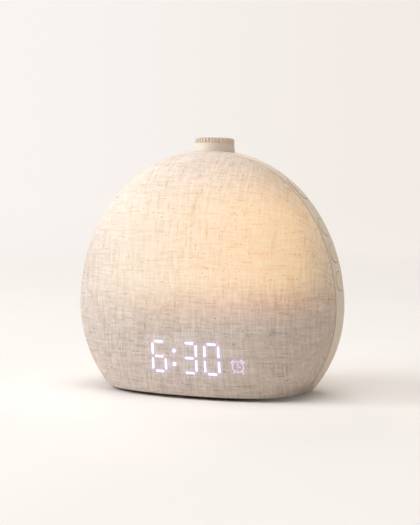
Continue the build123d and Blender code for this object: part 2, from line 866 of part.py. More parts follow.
with BuildPart() as side_switches:
    for angle in button_angles.values():
        plane = button_plane(angle)
        with BuildSketch(plane.offset(-switch_depth)):
            Rectangle(switch_size[0], switch_size[1])
        extrude(amount=-switch_size[2])
    for angle in button_angles.values():
        plane = button_plane(angle)
        with BuildSketch(plane.offset(-switch_depth)):
            Circle(plunger_radius + slide_gap)
        extrude(amount=-(plunger_tail + button_travel + part_gap), mode=Mode.SUBTRACT)
finish(side_switches, "side_switches")

with BuildPart() as button_board:
    with BuildSketch(facing(button_board_back)):
        with BuildLine():
            outer, inner = [
                EllipticalCenterArc(
                    (0, waist_height),
                    *rim_axes(inset)[:2],
                    button_board_angles[0],
                    arc_size=button_board_angles[1] - button_board_angles[0],
                )
                for inset in button_board_insets
            ]
            Line(outer @ 0, inner @ 0)
            Line(outer @ 1, inner @ 1)
        make_face()
        with Locations(*button_board_spots):
            Circle(board_screw[0] + pass_gap, mode=Mode.SUBTRACT)
    extrude(amount=board_wall - layer_gap)
finish(button_board, "button_board")
screws(
    "button_board_screws",
    [spot_plane(x, button_board_front + layer_gap, z) for x, z in button_board_spots],
    board_screw,
    board_screw_length,
)

# ======== Light chamber ========
light_board_front = dish_back + light_board_gap
light_board_back = light_board_front + board_wall
shelf_top = shelf_height + shelf_wall
led_width, led_rise, _ = rim_axes(dish_back_inset + led_edge)
led_spots = []
for level in led_rows:
    reach = led_width * sqrt(1 - ((level - waist_height) / led_rise) ** 2)
    count = int(reach // led_pitch)
    led_spots += [(step * led_pitch, level) for step in range(-count, count + 1)]

with BuildPart() as reflector_dish:
    for depth, inset, floor in (
        (dish_flange_front, dish_inset, dish_floor),
        (dish_back, dish_back_inset, dish_back_floor),
    ):
        with BuildSketch(facing(depth)):
            with BuildLine():
                crown_line(inset, floor)
            make_face()
    loft()
    with BuildSketch(facing(dish_flange_back)):
        with BuildLine():
            crown_line(hoop_inset + hoop_wall + part_gap, shelf_top + layer_gap)
        make_face()
    extrude(amount=flange_wall)
    for depth, inset, floor in (
        (dish_flange_front - dish_wall, dish_inset + dish_wall / 2, dish_floor + dish_wall / 2),
        (dish_back - dish_wall, dish_back_inset + dish_wall, dish_back_floor + dish_wall),
    ):
        with BuildSketch(facing(depth)):
            with BuildLine():
                crown_line(inset, floor)
            make_face()
    loft(mode=Mode.SUBTRACT)
    with BuildSketch(facing(dish_back - dish_wall / 2)):
        with Locations(*light_peg_spots):
            Circle(board_boss_radius)
    extrude(amount=-(dish_wall / 2 + light_board_gap - layer_gap))
    with BuildSketch(facing(light_board_front)):
        with Locations(*light_peg_spots):
            Circle(board_screw[0] + screw_gap)
    extrude(amount=board_screw_length - board_wall, mode=Mode.SUBTRACT)
    with BuildSketch(facing(light_board_front)):
        with Locations(*led_spots):
            Circle(led_hole_radius)
    extrude(amount=2 * light_board_gap + dish_wall / 2, mode=Mode.SUBTRACT)
    with BuildSketch(facing(dish_flange_back)):
        with Locations(*[spot for spot in case_screw_spots if spot[1] > shelf_top]):
            Circle(case_screw[0] + pass_gap)
    extrude(amount=flange_wall, mode=Mode.SUBTRACT)
    with BuildSketch(knob_plane.offset(encoder_bottom - encoder_base_wall - board_wall - 2 * part_gap)):
        Circle(encoder_board_width / 2 * sqrt(2) + part_gap)
    extrude(amount=crown_rise, mode=Mode.SUBTRACT)
finish(reflector_dish, "reflector_dish")

with BuildPart() as light_board:
    with BuildSketch(facing(light_board_back)):
        with BuildLine():
            crown_line(dish_back_inset + light_board_shrink, dish_back_floor + light_board_shrink)
        make_face()
        with Locations(*light_peg_spots):
            Circle(board_screw[0] + pass_gap, mode=Mode.SUBTRACT)
    extrude(amount=board_wall)
finish(light_board, "light_board")
screws(
    "light_board_screws",
    [spot_plane(x, light_board_back, z, towards_front=False) for x, z in light_peg_spots],
    board_screw,
    board_screw_length - part_gap,
)

with BuildPart() as light_leds:
    with BuildSketch(facing(light_board_front)):
        with Locations(*led_spots):
            Rectangle(led_size, led_size)
    extrude(amount=led_height)
finish(light_leds, "light_leds")

# ======== Display ========
mask_thick = mask_back - mask_front
display_board_front = mask_back + layer_gap
display_board_back = display_board_front + board_wall
leg_front = display_board_back + layer_gap
display_screw_spots = [(x, z) for x in display_post_spots for z in display_screw_levels]
half_digit = digit_height / 2
segment_places = [
    (0, half_digit, 0),
    (0, 0, 0),
    (0, -half_digit, 0),
    (-digit_width / 2, half_digit / 2, 90),
    (digit_width / 2, half_digit / 2, 90),
    (-digit_width / 2, -half_digit / 2, 90),
    (digit_width / 2, -half_digit / 2, 90),
]


def segment_outlines(growth):
    """The four digits' segments and the colon, in the sketch that calls it."""
    half = segment_width / 2 + growth
    for centre in digit_centres:
        for x, z, turn in segment_places:
            length = (half_digit if turn else digit_width) / 2 - segment_gap / 2 + growth
            with Locations((centre + x, digit_level + z)):
                Polygon(
                    (-length, 0),
                    (half - length, half),
                    (length - half, half),
                    (length, 0),
                    (length - half, -half),
                    (half - length, -half),
                    rotation=turn,
                )
    with Locations(*[(0, level) for level in colon_levels]):
        Circle(colon_radius + growth)


with BuildPart() as display_mask:
    with BuildSketch(facing(mask_back)):
        with Locations(((mask_left + mask_right) / 2, (mask_bottom + mask_top) / 2)):
            Rectangle(mask_right - mask_left, mask_top - mask_bottom)
    extrude(amount=mask_thick)
    with BuildSketch(facing(mask_back)):
        with Locations((display_right, mask_bottom)):
            Rectangle(display_right - mask_right + 1, icon_block, align=(Align.MAX, Align.MIN))
    extrude(amount=mask_back - icon_front)
    with BuildSketch(facing(mask_back)):
        segment_outlines(guide_gap)
        with Locations(icon_centre):
            Rectangle(icon_well, icon_well)
    extrude(amount=mask_thick, mode=Mode.SUBTRACT)
    with BuildSketch(facing(mask_back)):
        with Locations(*display_screw_spots):
            Circle(board_screw[0] + screw_gap)
    extrude(amount=board_screw_length, mode=Mode.SUBTRACT)
finish(display_mask, "display_mask")

with BuildPart() as segment_guides:
    with BuildSketch(facing(mask_back)):
        segment_outlines(0)
    extrude(amount=mask_thick)
finish(segment_guides, "segment_guides")

with BuildPart() as icon_guide:
    with BuildSketch(facing(mask_back)):
        with Locations(icon_centre):
            Rectangle(icon_well - 2 * guide_gap, icon_well - 2 * guide_gap)
    extrude(amount=mask_back - icon_front - icon_line)
    with BuildSketch(facing(icon_front + icon_line)):
        with Locations(icon_centre):
            Circle(icon_radius)
            Circle(icon_radius - icon_line, mode=Mode.SUBTRACT)
            Rectangle(icon_line, icon_hands[0], align=(Align.CENTER, Align.MIN))
            Rectangle(icon_hands[1], icon_line, align=(Align.MIN, Align.CENTER))
    extrude(amount=icon_line)
finish(icon_guide, "icon_guide")

with BuildPart() as display_board:
    with BuildSketch(facing(display_board_back)):
        with Locations((mask_left, mask_bottom - 1)):
            Rectangle(display_right - mask_left, mask_top - mask_bottom + 2, align=(Align.MIN, Align.MIN))
        with Locations(*display_screw_spots):
            Circle(board_screw[0] + pass_gap, mode=Mode.SUBTRACT)
    extrude(amount=board_wall)
finish(display_board, "display_board")

with BuildPart() as light_shelf:
    add(level_plate(shelf_height, shelf_top, hoop_inset + hoop_wall + 2 * layer_gap))
    split(bisect_by=Plane.XZ.offset(-shelf_back), keep=Keep.TOP)
    with BuildSketch(Plane.XY.offset(shelf_height)):
        with Locations(*ledge_screw_spots):
            Circle(board_screw[0] + pass_gap)
    extrude(amount=shelf_wall, mode=Mode.SUBTRACT)
    with BuildSketch(Plane.XY.offset(shelf_height)):
        for x in display_post_spots:
            with Locations((x, leg_front)):
                Rectangle(leg_width, leg_thick, align=(Align.CENTER, Align.MIN))
    extrude(amount=leg_bottom - shelf_height)
    with BuildSketch(facing(leg_front)):
        with Locations(*display_screw_spots):
            Circle(board_screw[0] + pass_gap)
    extrude(amount=-leg_thick, mode=Mode.SUBTRACT)
finish(light_shelf, "light_shelf")
screws(
    "shelf_screws",
    [Plane(origin=(x, y, shelf_top)) for x, y in ledge_screw_spots],
    board_screw,
    board_screw_length,
)
screws(
    "display_screws",
    [spot_plane(x, leg_front + leg_thick, z, towards_front=False) for x, z in display_screw_spots],
    board_screw,
    leg_thick + board_wall + board_screw_length - part_gap,
)

# ======== Speaker ========
speaker_axis = Axis((0, 0, speaker_level), (0, 1, 0))
speaker_plane = Plane.XY.offset(speaker_level)
speaker_flange_back = speaker_flange + speaker_flange_thick
magnet_back = magnet_front + magnet_thick

with BuildPart() as speaker_basket:
    with BuildSketch(speaker_plane):
        with BuildLine():
            Polyline(
                (speaker_radius, speaker_flange),
                (speaker_radius, speaker_flange_back),
                (speaker_mouth, speaker_flange_back),
                (speaker_mouth, speaker_flange),
                (basket_neck, magnet_back + layer_gap + basket_wall),
                (cone_neck, magnet_back + layer_gap + basket_wall),
                (cone_neck, magnet_back + layer_gap),
                (basket_neck + basket_wall, magnet_back + layer_gap),
                (speaker_mouth + basket_wall, speaker_flange),
                close=True,
            )
        make_face()
    revolve(axis=speaker_axis)
    with BuildSketch(facing(speaker_flange - basket_wall)):
        with Locations((0, speaker_level)):
            with PolarLocations(speaker_mouth - basket_wall, 4):
                SlotOverall(*basket_window, rotation=90)
    extrude(amount=speaker_flange - magnet_back - 4 * basket_wall, mode=Mode.SUBTRACT)
    with BuildSketch(facing(speaker_flange)):
        with Locations((0, speaker_level)):
            with PolarLocations(speaker_screw_radius, 4, start_angle=45):
                Circle(board_screw[0] + pass_gap)
    extrude(amount=-speaker_flange_thick, mode=Mode.SUBTRACT)
finish(speaker_basket, "speaker_basket")

with BuildPart() as speaker_magnet:
    with BuildSketch(facing(magnet_back)):
        with Locations((0, speaker_level)):
            Circle(magnet_radius)
    extrude(amount=magnet_thick)
    chamfer(speaker_magnet.edges().filter_by(GeomType.CIRCLE), basket_wall)
finish(speaker_magnet, "speaker_magnet")

with BuildPart() as speaker_cone:
    with BuildSketch(speaker_plane):
        with BuildLine():
            Polyline(
                (0, magnet_back + cone_cap),
                (0, magnet_back + cone_cap + cone_thick),
                (cone_neck, magnet_back + cone_foot + cone_thick),
                (speaker_mouth - roll_width, speaker_flange_back - cone_thick),
                (speaker_mouth - roll_width + cone_thick, speaker_flange_back + cone_thick),
                (speaker_mouth + roll_width, speaker_flange_back + cone_thick),
                (speaker_mouth + roll_width, speaker_flange_back + layer_gap),
                (speaker_mouth - part_gap, speaker_flange_back + layer_gap),
                (speaker_mouth - cone_thick - part_gap, speaker_flange_back - 2 * cone_thick),
                (cone_neck, magnet_back + cone_foot),
                close=True,
            )
        make_face()
    revolve(axis=speaker_axis)
finish(speaker_cone, "speaker_cone")

with BuildPart() as speaker_gasket:
    with BuildSketch(facing(seat_front)):
        with Locations((0, speaker_level)):
            Circle(speaker_radius)
            Circle(speaker_mouth + roll_width + part_gap, mode=Mode.SUBTRACT)
            with PolarLocations(speaker_screw_radius, 4, start_angle=45):
                Circle(board_screw[0] + pass_gap, mode=Mode.SUBTRACT)
    extrude(amount=gasket_thick)
finish(speaker_gasket, "speaker_gasket")
screws(
    "speaker_screws",
    [spot_plane(x, speaker_flange, z) for x, z in speaker_screw_spots],
    board_screw,
    board_screw_length,
)

# ======== Main board ========
with BuildPart() as main_board:
    with BuildSketch(facing(main_board_back)):
        with Locations((0, main_board_level)):
            RectangleRounded(*main_board_size, board_corner)
        with Locations(*main_board_spots):
            Circle(board_screw[0] + pass_gap, mode=Mode.SUBTRACT)
    extrude(amount=board_wall)
finish(main_board, "main_board")
screws(
    "main_board_screws",
    [spot_plane(x, main_board_front, z) for x, z in main_board_spots],
    board_screw,
    board_screw_length,
)


def board_parts(name, places, sizes, height):
    """Boxes of one size that stand on the back of the main board."""
    with BuildPart() as group:
        with BuildSketch(facing(main_board_back + layer_gap)):
            with Locations(*[(x, main_board_level + z) for x, z in places]):
                Rectangle(*sizes)
        extrude(amount=-height)
    finish(group, name)


board_parts("controller_chip", [controller_place], *controller_size)
board_parts("amplifier_chip", [amplifier_place], *amplifier_size)
board_parts("board_connectors", [(x, connector_level) for x in connector_places], *connector_size)

with BuildPart() as capacitors:
    with BuildSketch(facing(main_board_back + layer_gap)):
        with Locations(*[(capacitor_row, main_board_level + z) for z in capacitor_places]):
            Circle(capacitor_size[0])
    extrude(amount=-capacitor_size[1])
finish(capacitors, "capacitors")

cell_place = (cell_centre[0], main_board_level + cell_centre[1])
with BuildPart() as cell_holder:
    with BuildSketch(facing(main_board_back + layer_gap)):
        with Locations(cell_place):
            Circle(cell_radius + cell_rim)
    extrude(amount=-(cell_thick + cell_floor))
    with BuildSketch(facing(main_board_back + cell_floor)):
        with Locations(cell_place):
            Circle(cell_radius + turn_gap)
    extrude(amount=-2 * cell_thick, mode=Mode.SUBTRACT)
finish(cell_holder, "cell_holder")

with BuildPart() as backup_cell:
    with BuildSketch(facing(main_board_back + cell_floor + layer_gap)):
        with Locations(cell_place):
            Circle(cell_radius)
    extrude(amount=-cell_thick)
finish(backup_cell, "backup_cell")

# ======== Power board ========
power_board_top = power_board_bottom + board_wall
with BuildPart() as power_board:
    with BuildSketch(Plane.XY.offset(power_board_bottom)):
        with Locations((power_centre, power_board_back)):
            Rectangle(*power_board_size, align=(Align.CENTER, Align.MAX))
        with Locations(*power_post_spots):
            Circle(board_screw[0] + pass_gap, mode=Mode.SUBTRACT)
    extrude(amount=board_wall)
finish(power_board, "power_board")
screws(
    "power_board_screws",
    [Plane(origin=(x, y, power_board_top)) for x, y in power_post_spots],
    board_screw,
    board_screw_length,
)

with BuildPart() as usb_socket:
    with BuildSketch(facing(usb_face)):
        with Locations((power_centre, usb_level)):
            SlotOverall(usb_shell[0], usb_shell[1])
    extrude(amount=usb_shell[2])
    with BuildSketch(facing(usb_face)):
        with Locations((power_centre, usb_level)):
            SlotOverall(usb_shell[0] - 2 * usb_wall, usb_shell[1] - 2 * usb_wall)
    extrude(amount=usb_shell[2] - 2 * usb_wall, mode=Mode.SUBTRACT)
finish(usb_socket, "usb_socket")

with BuildPart() as usb_tongue:
    with BuildSketch(facing(usb_face - usb_shell[2] + 2 * usb_wall)):
        with Locations((power_centre, usb_level)):
            Rectangle(*usb_tongue_size)
    extrude(amount=-(usb_shell[2] - 4 * usb_wall))
finish(usb_tongue, "usb_tongue")

# ======== Leads and ribbon ========
lead_back = main_board_back + layer_gap + connector_size[1] / 2
lead_top = main_board_level + connector_level - connector_size[0][1] / 2 - layer_gap
lead_turn = lead_back + 1
speaker_lead_level = speaker_level + speaker_radius - speaker_lead_inset
encoder_lead_start = knob_plane.offset(encoder_bottom - encoder_base_wall - board_wall - 3 * layer_gap)
up = (0, 0, 1)
back = (0, 1, 0)
across = (1, 0, 0)
# Directions in which each pair leaves its board and arrives, the direction in which its two leads lie
# apart, and the points that it runs through
lead_routes = [
    # Power board
    (
        up,
        up,
        across,
        [
            (*power_lead_place, power_board_top + layer_gap),
            (power_lead_place[0], 15, 30),
            (-36, 20, 52),
            (-27, 27, 66),
            (connector_places[0], lead_back, lead_top),
        ],
    ),
    # Speaker
    (
        (0, -1, 0),
        up,
        across,
        [
            (connector_places[1], speaker_flange - layer_gap, speaker_lead_level),
            (connector_places[1], 32.4, 62),
            (connector_places[1], lead_back, 70),
            (connector_places[1], lead_back, lead_top),
        ],
    ),
    # Light board
    (
        back,
        up,
        across,
        [
            (connector_places[2], light_board_back + layer_gap, light_lead_level),
            (connector_places[2], 23.8, 74),
            (connector_places[2], 27.6, 72),
            (connector_places[2], lead_back, 73.6),
            (connector_places[2], lead_back, lead_top),
        ],
    ),
    # Button board
    (
        back,
        up,
        up,
        [
            (button_lead_place[0], button_board_back + layer_gap, button_lead_place[1]),
            (68, 22.5, 68),
            (50, 28, 66),
            (32, lead_turn, 68),
            (connector_places[3], lead_back, lead_top),
        ],
    ),
    # Encoder board
    (
        -knob_plane.z_dir,
        back,
        across,
        [
            tuple(encoder_lead_start.from_local_coords(encoder_lead_place)),
            (encoder_lead_place[0], 14, 140),
            (encoder_lead_place[0], 22.8, 131),
            (encoder_lead_place[0], 24.6, 123),
            (encoder_lead_place[0], main_board_front - layer_gap, encoder_lead_level),
        ],
    ),
]


def lead_points(route, apart, side):
    """One lead's points: the pair lies apart as given, and across at its last end."""
    shift = side * lead_pitch / 2
    points = [Vector(spot) + Vector(apart) * shift for spot in route[:-1]]
    return points + [Vector(route[-1]) + Vector(across) * shift]


with BuildPart() as inner_leads:
    for first, last, apart, route in lead_routes:
        for side in (-1, 1):
            with BuildLine() as path:
                Spline(*lead_points(route, apart, side), tangents=[first, last])
            with BuildSketch(Plane(origin=path.line @ 0, z_dir=path.line % 0)):
                Circle(lead_radius)
            sweep(path=path.line)
finish(inner_leads, "inner_leads")

with BuildPart() as display_ribbon:
    with BuildLine() as path:
        Spline(
            (ribbon_place, display_board_back + layer_gap, ribbon_levels[0]),
            (ribbon_place, -20, 31),
            (ribbon_place, 4, 33),
            (ribbon_place, 18, 50),
            (ribbon_place, 24.5, 68),
            (ribbon_place, main_board_front - layer_gap - ribbon_size[1], ribbon_levels[1]),
            tangents=[back, up],
        )
    with BuildSketch(Plane(origin=path.line @ 0, x_dir=(1, 0, 0), z_dir=path.line % 0)):
        Rectangle(*ribbon_size)
    sweep(path=path.line)
finish(display_ribbon, "display_ribbon")
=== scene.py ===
import json
import math

import bpy
import numpy as np
from mathutils import Matrix, Vector


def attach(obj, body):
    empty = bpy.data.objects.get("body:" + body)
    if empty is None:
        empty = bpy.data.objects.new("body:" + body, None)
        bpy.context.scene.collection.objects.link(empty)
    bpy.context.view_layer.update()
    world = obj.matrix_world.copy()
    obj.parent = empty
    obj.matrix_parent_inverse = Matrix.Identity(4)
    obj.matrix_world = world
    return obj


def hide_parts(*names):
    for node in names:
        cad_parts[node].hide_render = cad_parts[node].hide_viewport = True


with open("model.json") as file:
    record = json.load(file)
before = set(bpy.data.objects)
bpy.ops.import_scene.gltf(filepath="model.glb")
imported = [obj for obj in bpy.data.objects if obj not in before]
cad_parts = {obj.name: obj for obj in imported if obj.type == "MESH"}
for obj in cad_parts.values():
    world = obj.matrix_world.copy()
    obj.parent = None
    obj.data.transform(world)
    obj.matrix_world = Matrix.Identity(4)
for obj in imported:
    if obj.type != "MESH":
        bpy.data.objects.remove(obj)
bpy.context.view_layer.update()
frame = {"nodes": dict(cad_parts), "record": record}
nodes = frame["nodes"]

MM = 0.001

# The form, as in the CAD model, in millimetres. Seen from the front it is two half ellipses
# that meet at the waist; in depth it is squarer than an ellipse, by the power FRONT_Q
HALF, UP, DOWN, WAIST = 91.0, 103.0, 87.0, 58.0
FRONT, FRONT_Q = 53.0, 2.8
SOLE = 2.0
SEAM_GAP = 0.3
SWEEP_HALF, SWEEP_REACH = 44.0, 12.6
SWEEP_MID, SWEEP_MID_DEPTH, SWEEP_SLOPE = 22.0, -6.3, 0.43


# ---------------------------------------------------------------- node helpers
class Tree:
    """Short calls for building a shader from nodes."""

    def __init__(self, owner):
        self.tree = owner.node_tree
        self.tree.nodes.clear()

    def add(self, kind, inputs=None, **settings):
        """A new node. Each input is linked where it is given a socket, and set otherwise."""
        node = self.tree.nodes.new(kind)
        for key, value in settings.items():
            setattr(node, key, value)
        for name, value in (inputs or {}).items():
            socket = node.inputs[name]
            if isinstance(value, bpy.types.NodeSocket):
                self.tree.links.new(value, socket)
            else:
                socket.default_value = (*value, 1.0) if socket.type == "RGBA" else value
        return node

    def math(self, operation, *terms, clamp=False):
        inputs = dict(enumerate(terms))
        return self.add("ShaderNodeMath", inputs, operation=operation, use_clamp=clamp).outputs[0]

    def vector(self, operation, *terms):
        node = self.add("ShaderNodeVectorMath", dict(enumerate(terms)), operation=operation)
        return node.outputs["Value" if operation in ("DOT_PRODUCT", "LENGTH", "DISTANCE") else 0]

    def scaled(self, vector, factor):
        inputs = {0: vector, "Scale": factor}
        return self.add("ShaderNodeVectorMath", inputs, operation="SCALE").outputs[0]

    def combine(self, x, y, z=0.0):
        return self.add("ShaderNodeCombineXYZ", {"X": x, "Y": y, "Z": z}).outputs[0]

    def separate(self, vector):
        return self.add("ShaderNodeSeparateXYZ", {0: vector}).outputs

    def ramp(self, value, low, high, to_low=0.0, to_high=1.0, smooth=True):
        """Goes from to_low to to_high as the value goes from low to high, and stops there."""
        node = self.add(
            "ShaderNodeMapRange",
            {
                "Value": value,
                "From Min": low,
                "From Max": high,
                "To Min": to_low,
                "To Max": to_high,
            },
            interpolation_type="SMOOTHSTEP" if smooth else "LINEAR",
            clamp=True,
        )
        return node.outputs[0]

    def noise(self, vector, scale, detail=2.0, roughness=0.5):
        inputs = {"Vector": vector, "Scale": scale, "Detail": detail, "Roughness": roughness}
        return self.add("ShaderNodeTexNoise", inputs, noise_dimensions="3D").outputs[0]

    def mix(self, factor, a, b):
        """A colour between a and b. The colours are inputs 6 and 7 of the node, and output 2."""
        return self.add("ShaderNodeMix", {0: factor, 6: a, 7: b}, data_type="RGBA").outputs[2]

    def bump(self, height, strength, distance):
        inputs = {"Height": height, "Strength": strength, "Distance": distance}
        return self.add("ShaderNodeBump", inputs).outputs[0]

    def shader(self, kind, inputs):
        return self.add(kind, inputs).outputs[0]

    def mix_shader(self, factor, a, b):
        return self.shader("ShaderNodeMixShader", {0: factor, 1: a, 2: b})

    def output(self, shader, kind="ShaderNodeOutputMaterial"):
        self.add(kind, {"Surface": shader})


def srgb(*screen):
    """A colour given as it looks on screen, 0 to 255, as the linear values a shader takes."""
    return tuple(
        v / 12.92 if v <= 0.04045 else ((v + 0.055) / 1.055) ** 2.4
        for v in (channel / 255 for channel in screen)
    )


def new_material(name):
    material = bpy.data.materials.new(name)
    material.use_nodes = True
    return material, Tree(material)


# What every moulded finish shares: noise scales per metre, and the grain's work
CLOUD_SCALE, GRAIN_SCALE, SPECK_SCALE = 35.0, 1500.0, 5200.0
SPECK_SHARE = 0.6
GLOSS_SPREAD = 0.16
GRAIN_STRENGTH, GRAIN_HEIGHT = 0.25, 0.00012


def moulded(
    name, colour, roughness=0.5, grain=1.0, shift=0.06, metallic=0.0, coat=0.0, streaks=(1, 1, 1)
):
    """A solid material with slight changes of tone, a fine grain and uneven gloss."""
    material, t = new_material(name)
    place = t.add("ShaderNodeTexCoord").outputs["Object"]
    stretched = t.vector("MULTIPLY", place, streaks)
    cloud = t.noise(place, CLOUD_SCALE, detail=3.0)
    fine = t.noise(stretched, GRAIN_SCALE)
    speck = t.noise(stretched, SPECK_SCALE, detail=1.0)
    tone = t.math("MULTIPLY_ADD", t.math("ADD", cloud, fine), shift, 1.0 - shift)
    rough = t.math("MULTIPLY_ADD", fine, GLOSS_SPREAD, roughness - GLOSS_SPREAD / 2)
    height = t.math("ADD", fine, t.math("MULTIPLY", speck, SPECK_SHARE))
    surface = t.shader(
        "ShaderNodeBsdfPrincipled",
        {
            "Base Color": t.scaled(colour, tone),
            "Metallic": metallic,
            "Roughness": rough,
            "Coat Weight": coat,
            "Normal": t.bump(height, GRAIN_STRENGTH * grain, GRAIN_HEIGHT),
        },
    )
    t.output(surface)
    return material


# ---------------------------------------------------------------- the form
def seam_depth(x, z):
    """Where the seam lies at a place across: it sweeps forward over the crown."""
    x = np.abs(x)
    inner, outer = SWEEP_MID, SWEEP_HALF - SWEEP_MID

    def hermite(s, length, y0, y1, m0, m1):
        s = np.clip(s, 0, 1)
        return (
            (2 * s**3 - 3 * s**2 + 1) * y0
            + (s**3 - 2 * s**2 + s) * length * m0
            + (-2 * s**3 + 3 * s**2) * y1
            + (s**3 - s**2) * length * m1
        )

    near = hermite(x / inner, inner, -SWEEP_REACH, SWEEP_MID_DEPTH, 0.0, SWEEP_SLOPE)
    far = hermite((x - inner) / outer, outer, SWEEP_MID_DEPTH, 0.0, SWEEP_SLOPE, 0.0)
    depth = np.where(x < inner, near, np.where(x < SWEEP_HALF, far, 0.0))
    return np.where(z > WAIST, depth, 0.0)


def front_point(phi, t):
    """Points of the front: phi turns about the depth axis, t goes from the rim to the middle."""
    rho = np.cos(t) ** (2 / FRONT_Q)
    x = HALF * rho * np.cos(phi)
    z = WAIST + np.where(np.sin(phi) > 0, UP, DOWN) * rho * np.sin(phi)
    y = -FRONT * np.sin(t) ** (2 / FRONT_Q)
    return np.stack([x, y, z], -1)


def front_normal(p):
    x, y, z = p[..., 0], p[..., 1], p[..., 2]
    rise = np.where(z > WAIST, UP, DOWN)
    reach = np.sqrt((x / HALF) ** 2 + ((z - WAIST) / rise) ** 2) + 1e-9
    k = reach ** (FRONT_Q - 2)
    depth = -((np.abs(y) / FRONT) ** (FRONT_Q - 1)) / FRONT
    n = np.stack([k * x / HALF**2, depth, k * (z - WAIST) / rise**2], -1)
    return n / np.linalg.norm(n, axis=-1, keepdims=True)


# ---------------------------------------------------------------- the linen's mesh
# Columns of points round the front, each from the linen's edge to the middle of the front.
# Those that start at the sole are even along it, and closer by its foremost point. A column's
# points are picked out of many fine ones, and crowd towards the edge
CROWN_COLUMNS, EVEN_COLUMNS, CLOSING_COLUMNS = 301, 70, 60
SOLE_START, EVEN_SHARE, CLOSING_START = 0.4, 0.93, 0.26
COLUMN_POINTS, FINE_POINTS = 110, 4001
EDGE_CROWDING, BODY_CROWDING = 1.25, 1.15

# The edge that is turned in, in millimetres: the bend's radius, and how far in the edge goes
SEAM_FOLD, SOLE_FOLD = (0.9, 3.0), (2.2, 7.0)
FOLD_CLEARANCE = 0.4
BEND_STEPS = (0, 0.2, 0.4, 0.6, 0.8, 1.0)

# The cloth's map: the steps of an arc, where it stops getting steeper at the rim, and the
# millimetres of cloth in one unit of the map
ARC_STEPS, RIM_REACH, STEEPEST = 48, 0.9985, 6.0
CLOTH_UNIT = 100.0


def picked(points, shares):
    """Points at given shares of the length of a line of points."""
    steps = np.linalg.norm(np.diff(points, axis=0), axis=1)
    length = np.concatenate([[0], np.cumsum(steps)])
    wanted = length[-1] * shares
    return np.stack([np.interp(wanted, length, points[:, i]) for i in range(3)], -1)


def column(phi, shares):
    """Points from the linen's edge to the front's middle, and whether they start at the sole."""
    p = front_point(phi, np.linspace(0, math.pi / 2, FINE_POINTS))
    edge = seam_depth(p[:, 0], p[:, 2]) - SEAM_GAP
    kept = (p[:, 1] <= edge) & (p[:, 2] >= SOLE)
    first = int(np.argmax(kept))
    at_sole = first > 0 and p[first - 1, 2] < SOLE and p[first - 1, 1] <= edge[first - 1]
    return picked(p[first:], shares), at_sole


def turned_edge(p, at_sole, radius, depth):
    """Points of the edge that is turned in, from its inner end to the surface."""
    outward = p[0] - p[2]
    outward /= np.linalg.norm(outward)
    inward = np.array([-p[0][0], -p[0][1], 0.0]) if at_sole else -front_normal(p[0])
    inward /= np.linalg.norm(inward)
    start = p[0] - outward * radius
    stop = p[0] + inward * radius
    bend = [(1 - s) ** 2 * stop + 2 * s * (1 - s) * p[0] + s * s * start for s in BEND_STEPS]
    return [p[0] + inward * depth] + bend


def arc(across, other, half, other_half):
    """Length over the front from its middle to each point, along one of its two directions."""
    total = np.zeros_like(across)
    for k in (np.arange(ARC_STEPS) + 0.5) / ARC_STEPS:
        u = across * k
        reach = np.sqrt((u / half) ** 2 + (other / other_half) ** 2)
        reach = np.clip(reach, 1e-6, RIM_REACH)
        slope = FRONT * (1 - reach**FRONT_Q) ** (1 / FRONT_Q - 1)
        slope = slope * reach ** (FRONT_Q - 2) * u / half**2
        total += np.sqrt(1 + np.minimum(slope, STEEPEST) ** 2) * across / ARC_STEPS
    return total


def cloth_place(points):
    """Places on the cloth, in millimetres of thread: along the weft and along the warp."""
    x, z = points[..., 0], points[..., 2]
    rise = np.where(z > WAIST, UP, DOWN)
    return arc(x, z - WAIST, HALF, rise), arc(z - WAIST, x, rise, HALF)


def sole_turns():
    """Turns of the columns that start at the sole."""
    drop = (WAIST - SOLE) / DOWN
    deepest = FRONT * (1 - drop**FRONT_Q) ** (1 / FRONT_Q)
    even = np.linspace(SOLE_START, EVEN_SHARE * deepest, EVEN_COLUMNS)
    closing = deepest * (1 - np.linspace(CLOSING_START, 0, CLOSING_COLUMNS)[1:] ** 2)
    depths = np.sort(np.concatenate([even, closing]))
    reach = (1 - (depths / FRONT) ** FRONT_Q) ** (1 / FRONT_Q)
    turns = np.arcsin(np.minimum(drop / reach, 1.0))
    return np.concatenate([math.pi + turns, (2 * math.pi - turns[:-1])[::-1]])


